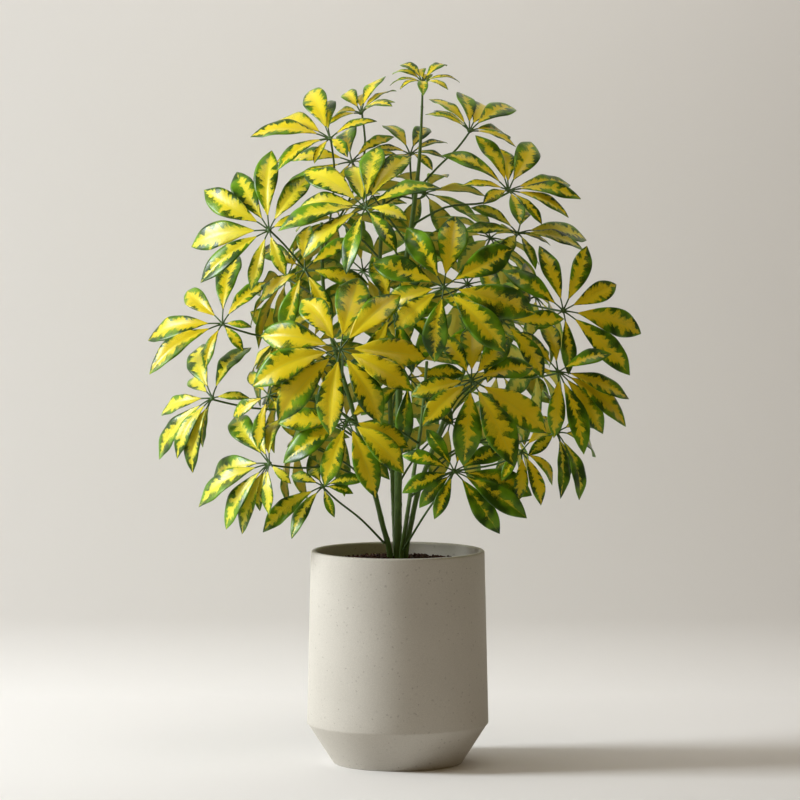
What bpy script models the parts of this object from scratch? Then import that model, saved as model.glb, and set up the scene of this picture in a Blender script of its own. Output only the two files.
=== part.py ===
"""Potted umbrella plant: a variegated dwarf umbrella tree in a tapered stoneware pot.

Frame: origin at the middle of the pot's base, +Z up, the plant's front to -Y. Metres.
The crown is built from compound leaves. Each one is a petiole that ends in a hub, and a fan of leaflets round
the hub, like the ribs of an umbrella. A leaf is one solid: a hub prism, whose sides are extruded into the
leaflets and whose underside is extruded down the petiole.
"""

import math

import bmesh
import bpy
from mathutils import Matrix, Vector
from mathutils.bvhtree import BVHTree

CM = 0.01
MM = 0.001
GAP = 0.3 * MM
UP = Vector((0, 0, 1))

# Pot, a turned shell with a crisp shoulder low on its side.
POT_HEIGHT = 238.5 * MM
RIM_RADIUS = 97 * MM
SHOULDER_RADIUS = 101.5 * MM
SHOULDER_HEIGHT = 45.5 * MM
BASE_RADIUS = 73 * MM
BASE_ROUND = 2.5 * MM
WALL = 6 * MM
FLOOR = 9 * MM
LIP_ROUND = 2.5 * MM
POT_SIDES = 40

# Soil, a heap that fills the pot to just below its rim.
SOIL_EDGE_HEIGHT = 222.5 * MM
SOIL_CROWN = 7 * MM
SOIL_RINGS = 6
STEM_DEPTH = 45 * MM

# The tables below give the plant's points in centimetres, from a level this far above the pot's base.
PLANT_LEVEL = 3.5 * MM

# Canes: radius at the soil and at the top, and the points that each passes through, in centimetres.
CANE_SIDES = 8
CANE_STEP = 3.4 * CM
CANES = {
    "trunk": (4.6 * MM, 1.3 * MM, [
        (0, 0, 23), (0.1, 0, 37), (0.3, 0.2, 50), (1.7, 0.8, 61), (2.4, 0.6, 67), (2.7, 0.4, 73)]),
    "cane_left": (3.2 * MM, 1.8 * MM, [
        (-0.9, -0.2, 23), (-2.6, 0.2, 30), (-5, 1, 39), (-8, 2, 50), (-8.5, 2.5, 60)]),
    "cane_right": (3.2 * MM, 1.8 * MM, [
        (0.9, 0.4, 23), (2.3, 1, 30), (5.2, 2, 38), (9, 2.5, 48), (10, 3, 57)]),
    "cane_back": (3.4 * MM, 1.8 * MM, [
        (-0.2, 1.4, 23), (-0.5, 3.5, 30), (-1, 7, 42), (-2, 8, 54), (-1.5, 7, 63)]),
    "cane_front": (2.6 * MM, 1.6 * MM, [
        (0.4, -1.2, 23), (1.4, -2.8, 30), (2.6, -5.2, 38), (3.2, -6.4, 45)]),
}

# Compound leaves.
HUB_RADIUS = 3.8 * MM
HUB_HEIGHT = 2.4 * MM
PETIOLE_RADIUS = 1.2 * MM
PETIOLE_STEPS = 3
STALK_END = 0.17
BELLY = 0.58
STALK_WIDTH = 3 * MM
BLADE_WIDTH = 0.36
BLADE_THICKNESS = 1 * MM
SAG = 0.06
AIM_STEPS = 40
SHORTEST = 3.6
LONGEST = 10.6


# Each leaf: its cane, the height where it leaves that cane and its hub, in centimetres; the way the umbrella
# faces, in degrees round from the front and degrees up; how steeply its leaflets rise from the hub and how
# far each then bends down, in degrees; and its leaflets. Those that show are given by their tips, as far to
# the right of the hub and above it as the front view shows them, in centimetres.
SHOWN_LEAVES = {
    # Front and middle.
    "leaf_01": ("cane_left", 43, (-6.2, -15, 46.8), (-6, 24), (12, 50), [
        (2, 7.5), (6.5, 5), (9.3, -1.1), (7.8, -4.9), (4.4, -8), (-1.1, -9.2), (-6.7, -7.8), (-9.1, -4.6),
        (-8.7, 1.2), (-4.3, 5.1)]),
    "leaf_02": ("trunk", 49, (5, -13, 53.4), (-4, 14), (12, 50), [
        (1.3, 7.6), (7.5, 4.1), (9.9, -2.9), (6.6, -7.2), (-1, -8.1), (-5.4, -4.6), (-6.8, -1.6), (-7.7, 2.5),
        (-3.8, 5.9)]),
    "leaf_03": ("cane_front", 40, (8, -12.5, 43.3), (5, 22), (12, 50), [
        (-0.9, -9.2), (4.4, -9.6), (8.2, -5.8), (6.8, 1.2), (3.9, 4), (0, 5.6), (-3.2, 4.2), (-6.6, -1.7),
        (-5.3, -5.2)]),
    "leaf_04": ("cane_front", 36, (-5.4, -10.5, 38.8), (-4, 26), (12, 50), [
        (-7.1, -4.7), (-7.4, -1), (-2.6, -7.1), (3, -8.3), (6, -6.1), (6.6, -3), (3.4, 2.4), (-3.6, 2.6)]),
    "leaf_05": ("cane_front", 24, (6.2, -8, 33), (8, 22), (12, 50), [
        (-5.8, 1.6), (-5.7, -2.4), (-3.9, -3.9), (-2.2, -5.2), (5, -6.9), (7.6, -5.6),
        (8.6, -2.9), (5.8, 1.8),
        (-3.1, 4), (1.6, 4.6)]),
    "leaf_06": ("trunk", 55, (-3.5, -9, 61.9), (-18, 40), (16, 50), [
        (8.3, 2.1), (5, 5.5), (1.7, 5.6), (-1.6, 4.4), (-6.4, 2.6), (-7.5, -0.4), (-9.1, -3.5), (-6.9, -5.5),
        (-2.1, -7.1), (3.4, -4.7), (4.8, -1.9)]),
    # Left side.
    "leaf_07": ("cane_left", 52, (-14.2, -3, 59.3), (-24, 20), (14, 45), [
        (-9.2, -2.1), (-6.7, 3.7), (-3.8, 6.3), (0.8, 8.1), (4.8, 6.1), (-7, -6.3), (-2, -6.7), (1.9, -5),
        (3.3, 1.5)]),
    "leaf_08": ("cane_left", 44, (-19.5, 0, 48.8), (-28, 30), (16, 48), [
        (-8.6, -2.2), (-7.5, -6.4), (-4.2, 3.4), (1.6, 7.4), (5, 4.6), (-1.9, -5), (2.4, -3), (3, -0.3)]),
    "leaf_09": ("cane_left", 36, (-20.7, 1, 40.4), (-38, 30), (10, 55), [
        (-6.2, -7.2), (-5.1, -2.8), (-3.2, -7.1), (-2.2, -8.3), (-1.7, -5.4), (-2.2, 2),
        (-0.6, 4.6), (4.2, 5.4),
        (4.2, 0.1)]),
    "leaf_10": ("cane_left", 31, (-14.2, -4, 33.5), (-34, 28), (12, 55), [
        (-6.5, -2.2), (-7, -5.8), (-4.9, -7.5), (-4, -7.8), (-2.2, -5), (0, -5.6), (1.4, -1.2), (1.1, 4.6),
        (-0.7, 3.7), (-4, 4.8)]),
    "leaf_11": ("cane_left", 24.5, (-8.3, -3, 30.9), (-18, 34), (14, 50), [
        (-6.7, -5.2), (-3.1, -6.1), (1.3, -3.3), (3.1, -0.7), (4.8, 0.3), (-2, 2.9), (-3.6, 0.9)]),
    # Right side.
    "leaf_12": ("cane_right", 50, (18.3, -3, 50.4), (22, 12), (12, 42), [
        (-6.7, 4.4), (-2.6, 7.1), (2.2, 6.7), (6.1, 2.7), (9.1, -2.9), (6.8, -7.5), (0.6, -7.1), (-3.2, -2)]),
    "leaf_13": ("cane_right", 41, (17.7, -4, 43.7), (18, 32), (12, 52), [
        (7.6, -6.2), (7.4, -3.8), (5.7, -6.6), (2.8, -9), (-0.2, -7), (-5.6, 4), (-2, 4.6), (6.1, -0.3),
        (-5, -0.6)]),
    "leaf_14": ("cane_right", 33, (17.6, -2, 36.8), (44, 34), (6, 58), [
        (2.6, -7.6), (1.6, -6), (4.4, -3.3), (-0.3, -7.4), (-3.2, -2.4), (3.5, -0.8), (-2.6, 1.8), (1, 3)]),
    "leaf_15": ("cane_front", 30, (13.6, -6, 35), (24, 40), (8, 74), [
        (-0.5, -5.5), (1.7, -6.1), (3.5, -3.9), (-3, -3.6), (-3.2, 0.4), (2.8, 0.4)]),
    # Upper right.
    "leaf_16": ("cane_right", 54, (13.4, 2, 58.8), (35, 50), (18, 45), [
        (8.8, -1.1), (7, -2.9), (3.7, -1.4), (1.9, -3.9), (-2.4, -2.8), (-6.1, 0.3), (-5.6, 2.1),
        (0.7, 3.2)]),
    "leaf_17": ("trunk", 60, (12.3, 0, 63.6), (35, 50), (24, 42), [
        (-7.4, 3.9), (-4.2, 5.2), (-1.3, 4.7), (2.2, 4.3), (7.1, 0.5), (7.8, -2), (6.7, -3), (4, -3.1),
        (1.2, -3.7), (-2.9, -1.4), (-5, 1.2)]),
    # Top.
    "leaf_18": ("trunk", 64, (8, 2, 70.2), (50, 60), (26, 45), [
        (-4.5, 3.5), (-4.6, 2.6), (-4.4, 1.6), (-1.6, 3.3), (1.7, 2.8), (4.8, 1.1), (5.1, 0), (5.2, -1.8)]),
    "leaf_19": ("trunk", 74, (2.8, 0, 75.5), (5, 72), (40, 75), [
        (-3.4, 1), (-3.7, 0.3), (-2.2, 1.2), (-0.4, 1.3), (1, 1.2), (2.7, 1.2), (4.1, 0.1), (2.3, -0.6),
        (0, -1.4), (-2.3, -0.6)]),
    "leaf_20": ("cane_left", 58, (-4.1, 3, 72.2), (-45, 58), (30, 48), [
        (2.7, 4), (3.6, 3.2), (3.8, 1.2), (4, -0.1), (0.3, 3), (-1.8, 2.2), (-3.3, 0.2), (-3.8, -1.4)]),
    "leaf_21": ("cane_left", 56, (-7.5, -1, 69.4), (-30, 55), (24, 48), [
        (-7.7, 1.5), (-8.6, -1.1), (-6.6, -2.2), (-5.8, -3.5), (-2, 4), (0.6, 4.3), (2, -2), (-1.9, -2.3),
        (5.2, 1.9)]),
    "leaf_22": ("trunk", 58, (-5.1, 1.5, 66.8), (-38, 50), (18, 45), [
        (-8.3, -4.6), (-6.6, -1), (-4.6, -5.4), (4.3, 2.9), (4.8, 1.4), (-0.4, 3.6), (1.4, -4.2),
        (4.6, -1.4)]),
    "leaf_23": ("trunk", 62, (1.4, 4, 67.6), (5, 62), (32, 55), [
        (-3.1, 3.1), (-4.4, 0.2), (1.9, 2.9), (4.2, 1.2), (3.9, -0.5), (2.8, -2), (-1.1, -2.2),
        (-3.4, -1.4)]),
}

# The leaves that are glimpsed between them or stand behind them have an even fan: how many leaflets, the
# angle of the first round the hub and their length in centimetres.
EVEN_LEAVES = {
    # Inside.
    "leaf_24": ("cane_left", 48, (-10.2, -5, 55), (-20, 25), (12, 50), (7, 150, 7.2)),
    "leaf_25": ("cane_left", 38, (-14.2, -3.5, 41), (-28, 15), (12, 55), (6, 200, 5.6)),
    "leaf_26": ("cane_left", 41, (-13.5, 4.5, 46.5), (-60, 30), (12, 55), (7, 160, 7)),
    "leaf_27": ("cane_right", 46, (11.5, -6, 49.5), (15, 15), (12, 50), (7, 100, 7.4)),
    "leaf_44": ("trunk", 44, (-0.5, -6.5, 50.5), (-5, 15), (12, 50), (8, 110, 7.4)),
    "leaf_45": ("trunk", 33, (1.2, -4, 43), (5, 10), (12, 50), (7, 60, 7.2)),
    # Back.
    "leaf_28": ("cane_left", 44, (-13, 10, 41), (-115, 25), (12, 55), (8, 90, 8)),
    "leaf_29": ("cane_left", 50, (-12.5, 9, 53.5), (-120, 35), (12, 50), (9, 0, 8.4)),
    "leaf_30": ("cane_back", 56, (-6.5, 11, 60), (-140, 50), (12, 50), (9, 10, 8.4)),
    "leaf_31": ("cane_back", 62, (3, 12, 63), (175, 55), (12, 50), (8, 25, 8)),
    "leaf_32": ("cane_right", 55, (10.5, 10, 58), (140, 50), (12, 50), (8, 15, 8)),
    "leaf_33": ("cane_right", 48, (15.5, 8, 51.5), (110, 28), (12, 50), (8, 5, 8.2)),
    "leaf_34": ("cane_right", 40, (15.5, 8, 43.5), (115, 18), (12, 55), (8, 20, 8)),
    "leaf_35": ("cane_back", 52, (-4, 17, 54), (-170, 25), (12, 50), (9, 0, 9.2)),
    "leaf_36": ("cane_back", 48, (8, 16, 52.5), (160, 22), (12, 50), (9, 12, 9)),
    "leaf_37": ("cane_back", 40, (-10, 15, 45.5), (-150, 15), (12, 50), (9, 30, 9)),
    "leaf_38": ("cane_back", 38, (1, 18, 43.5), (178, 12), (12, 50), (9, 8, 9.2)),
    "leaf_39": ("cane_right", 35, (11.5, 14, 43), (150, 15), (12, 50), (8, 22, 8.8)),
    "leaf_40": ("cane_back", 32, (-6, 12.5, 36.5), (-155, 20), (12, 60), (8, 0, 8)),
    "leaf_41": ("cane_back", 30, (6, 12.5, 37), (160, 20), (12, 60), (8, 20, 7.8)),
    "leaf_42": ("cane_left", 30, (-11, 8, 35), (-110, 25), (12, 60), (8, 15, 7.4)),
    "leaf_43": ("cane_right", 31, (12.5, 7, 36.5), (110, 25), (12, 60), (8, 0, 7.2)),
}

# What a leaflet tries in turn when something is in its way: a swing round the hub, a lift (degrees) and a
# share of its length. What a petiole tries: a bow to the side and upwards (cm).
NUDGES = [(0, 0), (0, 9), (0, -9), (7, 0), (-7, 0), (7, 12), (-7, 12), (7, -12), (-7, -12), (0, 18), (0, -18)]
TRIES = [(swing, lift, share) for share in (1, 0.88, 0.76, 0.62, 0.5) for swing, lift in NUDGES]
WIDE_TRIES = [(swing, lift) for swing in (0, 10, -10) for lift in (28, -28, 40, -40)]
TRIES += [(swing, lift, share) for share in (0.85, 0.6, 0.45) for swing, lift in WIDE_TRIES]
SIDEWAYS = (0, 1.2, -1.2, 2.4, -2.4, 4.5, -4.5, 6, -6)
BOWS = [(side, rise) for side in SIDEWAYS for rise in (0, 1.2, -1.2, 2.4, -2.4)]
LEAFLET_ROOM = 2 * MM
SIBLING_ROOM = 0.5 * MM
PETIOLE_ROOM = 1.5 * MM


# Shared helpers.


def material(name, colour, roughness):
    made = bpy.data.materials.new(name)
    made.use_nodes = True
    shader = made.node_tree.nodes["Principled BSDF"]
    shader.inputs["Base Color"].default_value = (*colour, 1)
    shader.inputs["Roughness"].default_value = roughness
    return made


def add_node(name, bm, finish, parent=None):
    """Makes the bmesh a smooth-shaded object with its own material."""
    bmesh.ops.recalc_face_normals(bm, faces=bm.faces[:])
    mesh = bpy.data.meshes.new(name)
    bm.to_mesh(mesh)
    bm.free()
    mesh.materials.append(finish)
    mesh.shade_smooth()
    mesh.set_sharp_from_angle(angle=math.radians(30))
    made = bpy.data.objects.new(name, mesh)
    bpy.context.scene.collection.objects.link(made)
    made.parent = parent
    return made


def turned(bm, profile, sides):
    """Spins a closed outline, given as (radius, height) points that start and end on the axis."""
    points = [bm.verts.new((radius, 0, height)) for radius, height in profile]
    edges = [bm.edges.new(pair) for pair in zip(points, points[1:])]
    bmesh.ops.spin(
        bm, geom=points + edges, cent=(0, 0, 0), axis=(0, 0, 1), angle=2 * math.pi, steps=sides,
        use_merge=True,
    )
    bmesh.ops.remove_doubles(bm, verts=bm.verts[:], dist=0.01 * MM)


def arc(centre, radius, start, end, steps):
    """Points on an arc of a profile, from one angle in degrees to another."""
    turns = [math.radians(start + (end - start) * k / steps) for k in range(steps + 1)]
    return [(centre[0] + radius * math.cos(a), centre[1] + radius * math.sin(a)) for a in turns]


def planted(point):
    """A point of the plant's tables, in metres above the pot's base."""
    return Vector(point) * CM + UP * PLANT_LEVEL


def smooth_point(points, t):
    """A point on the Catmull-Rom curve through the points, t running from 0 to 1."""
    place = min(t, 0.99999) * (len(points) - 1)
    k = int(place)
    f = place - k
    a, b = points[max(k - 1, 0)], points[k]
    c, d = points[k + 1], points[min(k + 2, len(points) - 1)]
    return 0.5 * (2 * b + (c - a) * f + (2 * a - 5 * b + 4 * c - d) * f**2 + (3 * b - a - 3 * c + d) * f**3)


def extrude_to(bm, face, place):
    """Extrudes one face and puts each of its corners where place says. Returns the new face."""
    face = bmesh.ops.extrude_discrete_faces(bm, faces=[face])["faces"][0]
    corners = [(vert, place(vert.co.copy())) for vert in face.verts]
    for vert, spot in corners:
        vert.co = spot
    return face


def grow_tube(bm, face, heading, points, radii):
    """Extrudes a round face along the points, turning each new ring to the way the tube runs."""
    for k, point in enumerate(points):
        ahead = (points[min(k + 1, len(points) - 1)] - points[max(k - 1, 0)]).normalized()
        turn = heading.rotation_difference(ahead)
        middle = face.calc_center_median()
        face = extrude_to(bm, face, lambda spot: point + turn @ (spot - middle).normalized() * radii[k])
        heading = ahead


# Pot and soil.


def pot_wall_radius(height):
    """Outer radius of the upper wall, which leans in a little from the shoulder to the rim."""
    share = (height - SHOULDER_HEIGHT) / (POT_HEIGHT - SHOULDER_HEIGHT)
    return SHOULDER_RADIUS + (RIM_RADIUS - SHOULDER_RADIUS) * share


def inner_outline(inset):
    """Inside of the pot from its floor to the soil line, drawn in by inset."""
    shoulder_inset = WALL + inset
    return [
        (BASE_RADIUS - WALL - inset, FLOOR + inset),
        (SHOULDER_RADIUS - shoulder_inset, SHOULDER_HEIGHT + WALL / 2),
        (pot_wall_radius(SOIL_EDGE_HEIGHT) - shoulder_inset, SOIL_EDGE_HEIGHT),
    ]


def make_pot(parent):
    lip = POT_HEIGHT - LIP_ROUND
    outer = [(0, 0)]
    outer += arc((BASE_RADIUS - BASE_ROUND, BASE_ROUND), BASE_ROUND, -90, -35, 2)
    outer += [(SHOULDER_RADIUS, SHOULDER_HEIGHT)]
    outer += arc((RIM_RADIUS - LIP_ROUND, lip), LIP_ROUND, 0, 90, 3)
    outer += arc((RIM_RADIUS - WALL + LIP_ROUND, lip), LIP_ROUND, 90, 180, 3)
    inner = inner_outline(0)
    outer += [inner[1], inner[0], (0, FLOOR)]
    bm = bmesh.new()
    turned(bm, outer, POT_SIDES)
    return add_node("pot", bm, material("stoneware", (0.42, 0.37, 0.31), 0.75), parent)


def soil_height(x, y):
    """The heap's top: a low dome with shallow lumps that die out at the wall."""
    share = min(math.hypot(x, y) / RIM_RADIUS, 1)
    lumps = math.sin(110 * x + 1.3) * math.sin(95 * y + 0.4) + 0.6 * math.sin(170 * y - 120 * x)
    return SOIL_EDGE_HEIGHT + (SOIL_CROWN + 1.1 * MM * lumps) * (1 - share**2)


def make_soil(parent):
    bottom, middle, top = inner_outline(GAP)
    profile = [(0, bottom[1]), bottom, middle, top]
    profile += [(top[0] * (1 - k / SOIL_RINGS), SOIL_EDGE_HEIGHT) for k in range(1, SOIL_RINGS + 1)]
    bm = bmesh.new()
    turned(bm, profile, POT_SIDES)
    for vert in bm.verts:
        if vert.co.z > SOIL_EDGE_HEIGHT - GAP and vert.co.xy.length < top[0] - GAP:
            vert.co.z = soil_height(vert.co.x, vert.co.y)
    soil = add_node("soil", bm, material("potting_mix", (0.07, 0.035, 0.02), 0.95), parent)
    for name, (foot_radius, _, route) in CANES.items():
        cutter = bmesh.new()
        foot = planted(route[0])
        hole_radius = (foot_radius + GAP) / math.cos(math.pi / CANE_SIDES)
        depth = STEM_DEPTH + 20 * MM
        middle_height = SOIL_EDGE_HEIGHT - STEM_DEPTH - GAP + depth / 2
        bmesh.ops.create_cone(
            cutter, cap_ends=True, segments=CANE_SIDES, radius1=hole_radius, radius2=hole_radius, depth=depth,
            matrix=Matrix.Translation((foot.x, foot.y, middle_height)),
        )
        hole = add_node("hole_for_" + name, cutter, soil.data.materials[0], parent)
        hole.hide_render = True
        hole.display_type = "WIRE"
        cut = soil.modifiers.new("hole for " + name, "BOOLEAN")
        cut.object = hole
    return soil


# Canes.


def cane_point(name, height):
    """The cane's centre line and radius at a height, found by halving."""
    foot_radius, top_radius, route = CANES[name]
    points = [planted(point) for point in route]
    low, high = 0.0, 1.0
    for _ in range(30):
        middle = (low + high) / 2
        if smooth_point(points, middle).z < height:
            low = middle
        else:
            high = middle
    return smooth_point(points, low), foot_radius + (top_radius - foot_radius) * low


def make_cane(name, parent):
    """A cane starts upright in its hole in the soil, and leans only above the soil."""
    foot_radius, _, route = CANES[name]
    foot, top = planted(route[0]), planted(route[-1])
    base = Vector((foot.x, foot.y, SOIL_EDGE_HEIGHT - STEM_DEPTH))
    bm = bmesh.new()
    bmesh.ops.create_cone(
        bm, cap_ends=True, segments=CANE_SIDES, radius1=foot_radius, radius2=foot_radius,
        depth=foot.z - base.z,
        matrix=Matrix.Translation((base + foot) / 2),
    )
    collar = max(bm.faces, key=lambda f: f.calc_center_median().z)
    steps = round((top.z - foot.z) / CANE_STEP)
    rings = [cane_point(name, foot.z + (top.z - foot.z) * k / steps) for k in range(1, steps + 1)]
    grow_tube(bm, collar, UP, [centre for centre, _ in rings], [radius for _, radius in rings])
    return add_node(name, bm, material("bark_" + name, (0.13, 0.2, 0.05), 0.6), parent)


# Compound leaves.


def facing_frame(azimuth, elevation):
    """The umbrella's outward direction, and the two directions across it: right and up."""
    a, e = math.radians(azimuth), math.radians(elevation)
    out = Vector((math.sin(a) * math.cos(e), -math.cos(a) * math.cos(e), math.sin(e)))
    right = Vector((math.cos(a), math.sin(a), 0))
    return out, right, out.cross(right)


def leaflet_station(hub, frame, angle, length, lift, droop, s):
    """Centre, sideways and upper directions at share s of a leaflet that arches away from its hub."""
    out, right, up = frame
    phi = math.radians(angle)
    ray = right * math.cos(phi) + up * math.sin(phi)
    side = up * math.cos(phi) - right * math.sin(phi)
    start, bend = math.radians(lift), math.radians(droop)
    here = start - bend * s
    along = (math.sin(start) - math.sin(here)) / bend
    rise = (math.cos(here) - math.cos(start)) / bend
    centre = hub + (ray * along + out * rise) * length - UP * SAG * length * s**2
    heading = ray * math.cos(here) + out * math.sin(here) - UP * 2 * SAG * s
    top = heading.cross(side).normalized()
    return centre, side, top


def even_fan(count, first, length):
    """Leaflets spread evenly round the hub, some a little longer and some a little shorter."""
    return [(first - 360 * k / count, length * (1 + 0.07 * math.cos(2.4 * k))) for k in range(count)]


def shown_fan(face, arch, spots):
    """Angle and length of leaflets whose tips show at these spots: each is turned and stretched to fit."""
    frame = facing_frame(*face)
    fan = []
    for right, above in spots:
        angle, length = math.degrees(math.atan2(above, right)), math.hypot(right, above)
        for _ in range(AIM_STEPS):
            tip = leaflet_station(Vector(), frame, angle, length, *arch, 1)[0]
            missed = math.atan2(above, right) - math.atan2(tip.z, tip.x)
            angle += 0.6 * math.degrees(math.remainder(missed, 2 * math.pi))
            length *= (math.hypot(right, above) / math.hypot(tip.x, tip.z)) ** 0.6
            length = min(max(length, SHORTEST), LONGEST)
        fan.append((angle, length))
    return fan


LEAVES = {
    name: (cane, height, hub, face, arch, shown_fan(face, arch, spots))
    for name, (cane, height, hub, face, arch, spots) in SHOWN_LEAVES.items()
}
LEAVES |= {
    name: (cane, height, hub, face, arch, even_fan(*fan))
    for name, (cane, height, hub, face, arch, fan) in EVEN_LEAVES.items()
}


def petiole_route(cane, height, hub, out, bow):
    """Petiole from the cane's side, or from its tip, to the hub's back: a cubic curve bowed to one side."""
    tip = planted(CANES[cane][2][-1])
    stem, radius = cane_point(cane, height)
    reach = hub - stem
    away = Vector((reach.x, reach.y, 0)).normalized()
    start = stem + away * (radius + 1.6 * MM)
    leaving = away * 0.6 + UP * 0.8
    if height > tip.z:
        start = tip + UP * 2 * GAP
        leaving = UP
    spread = (away.cross(UP) * bow[0] + UP * bow[1]) * CM
    leave = start + leaving * reach.length * 0.35 + spread
    arrive = hub - out * reach.length * 0.3 + spread
    shares = [k / PETIOLE_STEPS for k in range(PETIOLE_STEPS + 1)]
    return [
        start * (1 - t) ** 3 + leave * 3 * t * (1 - t) ** 2 + arrive * 3 * t**2 * (1 - t) + hub * t**3
        for t in shares
    ]


class Room:
    """The space already taken, kept as one search tree and box for each solid."""

    def __init__(self):
        self.taken = []

    def add(self, owner, points, faces):
        low = [min(p[k] for p in points) for k in range(3)]
        high = [max(p[k] for p in points) for k in range(3)]
        self.taken.append((owner, low, high, BVHTree.FromPolygons(points, faces)))

    def free(self, points, faces, skip=None):
        low = [min(p[k] for p in points) for k in range(3)]
        high = [max(p[k] for p in points) for k in range(3)]
        tree = None
        for owner, other_low, other_high, other in self.taken:
            if owner == skip or any(low[k] > other_high[k] or high[k] < other_low[k] for k in range(3)):
                continue
            tree = tree or BVHTree.FromPolygons(points, faces)
            if tree.overlap(other):
                return False
        return True


def tube(stations):
    """Points and faces of a closed four-sided tube. A station is centre, side, top, width and thickness."""
    points, faces = [], []
    for centre, side, top, width, thickness in stations:
        for across, above in ((-1, -1), (1, -1), (1, 1), (-1, 1)):
            points.append(centre + side * (across * width / 2) + top * (above * thickness / 2))
    for k in range(len(stations) - 1):
        for j in range(4):
            a, b = 4 * k + j, 4 * k + (j + 1) % 4
            faces.append((a, b, b + 4, a + 4))
    last = len(points) - 4
    faces += [(3, 2, 1, 0), (last, last + 1, last + 2, last + 3)]
    return points, faces


def blade_widths(length):
    """The leaflet's share, width and thickness at the end of its stalk, at its belly and at its tip."""
    return (
        (STALK_END, STALK_WIDTH, BLADE_THICKNESS),
        (BELLY, BLADE_WIDTH * length, BLADE_THICKNESS),
        (1, 0, 0),
    )


def blade_tube(hub, frame, pose, room):
    """The blade with room left all round it, without the thin stalk that joins the hub."""
    return tube([
        (*leaflet_station(hub, frame, *pose, share), width + 2 * room + 1 * MM, thickness + 2 * room)
        for share, width, thickness in blade_widths(pose[1])
    ])


def petiole_tube(route, room):
    stations = []
    for k, point in enumerate(route):
        heading = route[min(k + 1, len(route) - 1)] - route[max(k - 1, 0)]
        side = heading.cross(Vector((0.3, 0.2, 1))).normalized()
        top = side.cross(heading).normalized()
        stations.append((point, side, top, 2 * (PETIOLE_RADIUS + room), 2 * (PETIOLE_RADIUS + room)))
    return tube(stations)


def settle_petioles(room):
    """Each petiole takes the first bow in which it is clear of the canes and of the petioles before it."""
    routes = {}
    for name, (cane, height, hub, face, _, _) in LEAVES.items():
        centre, out = planted(hub), facing_frame(*face)[0]
        for bow in BOWS:
            routes[name] = petiole_route(cane, planted((0, 0, height)).z, centre, out, bow)
            clear = room.free(*petiole_tube(routes[name], PETIOLE_ROOM), skip=cane)
            if clear and room.free(*petiole_tube(routes[name], 0)):
                break
        else:
            print("no room for the petiole of", name)
        room.add(name, *petiole_tube(routes[name], 0))
    return routes


def settle_leaflets(room):
    """Each leaflet takes the first pose in which its blade is clear of all that is already there."""
    settled = {}
    for name, (_, _, hub, face, (rise, droop), fan) in LEAVES.items():
        centre, frame = planted(hub), facing_frame(*face)
        settled[name] = []
        for angle, length in fan:
            for swing, lift, share in TRIES:
                pose = (angle + swing, length * CM * share, rise + lift, droop)
                clear = room.free(*blade_tube(centre, frame, pose, LEAFLET_ROOM), skip=name)
                if clear and room.free(*blade_tube(centre, frame, pose, SIBLING_ROOM)):
                    settled[name].append(pose)
                    room.add(name, *blade_tube(centre, frame, pose, 0))
                    break
            else:
                print("no room for a leaflet of", name, "at", angle)
    return settled


def hub_prism(bm, centre, frame, poses):
    """A prism with one side for each leaflet, turned so that its sides look along them as best they can."""
    out, right, up = frame
    count = len(poses)
    first = sum(pose[0] - 360 * k / count for k, pose in enumerate(poses)) / count
    place = Matrix((right, up, out)).transposed().to_4x4()
    place.translation = centre
    spin = Matrix.Rotation(math.radians(first - 90 - 180 / count), 4, "Z")
    bmesh.ops.create_cone(
        bm, cap_ends=True, segments=count, radius1=HUB_RADIUS, radius2=HUB_RADIUS, depth=HUB_HEIGHT,
        matrix=place @ spin,
    )
    bm.normal_update()

    def turn_of(side):
        ray = side.calc_center_median() - centre
        angle = math.degrees(math.atan2(ray.dot(up), ray.dot(right)))
        return (angle - first + 180 / count) % 360

    sides = sorted((f for f in bm.faces if abs(f.normal.dot(out)) < 0.5), key=turn_of)
    underside = min(bm.faces, key=lambda f: f.normal.dot(out))
    return sides, underside


def grow_leaflet(bm, face, centre, frame, pose):
    """Extrudes a side of the hub along a leaflet: a thin stalk, then a blade that widens to a point."""
    out = frame[0]
    top = out
    side = out.cross(face.calc_center_median() - centre)
    for share, width, thickness in blade_widths(pose[1]):
        middle = face.calc_center_median()
        spot, next_side, next_top = leaflet_station(centre, frame, *pose, share)

        def place(corner):
            across = math.copysign(width / 2, (corner - middle).dot(side))
            above = math.copysign(thickness / 2, (corner - middle).dot(top))
            return spot + next_side * across + next_top * above

        face = extrude_to(bm, face, place)
        side, top = next_side, next_top
    bmesh.ops.pointmerge(bm, verts=face.verts[:], merge_co=spot)


def make_leaf(name, route, poses, parent):
    _, _, hub, face, _, _ = LEAVES[name]
    centre, frame = planted(hub), facing_frame(*face)
    poses = sorted(poses)
    bm = bmesh.new()
    sides, underside = hub_prism(bm, centre, frame, poses)
    for side, pose in zip(sides, poses):
        grow_leaflet(bm, side, centre, frame, pose)
    path = [centre - frame[0] * HUB_HEIGHT * 1.6] + route[-2::-1]
    grow_tube(bm, underside, -frame[0], path, [PETIOLE_RADIUS] * len(path))
    return add_node(name, bm, material("foliage_" + name, (0.35, 0.36, 0.03), 0.4), parent)


def solid_faces(made):
    return [v.co.copy() for v in made.data.vertices], [tuple(p.vertices) for p in made.data.polygons]


def main():
    for old in list(bpy.data.objects):
        bpy.data.objects.remove(old)
    plant = bpy.data.objects.new("potted_umbrella_plant", None)
    bpy.context.scene.collection.objects.link(plant)
    room = Room()
    room.add("pot", *solid_faces(make_pot(plant)))
    room.add("soil", *solid_faces(make_soil(plant)))
    for name in CANES:
        room.add(name, *solid_faces(make_cane(name, plant)))
    routes = settle_petioles(room)
    settled = settle_leaflets(room)
    for name in LEAVES:
        make_leaf(name, routes[name], settled[name], plant)


main()
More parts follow.
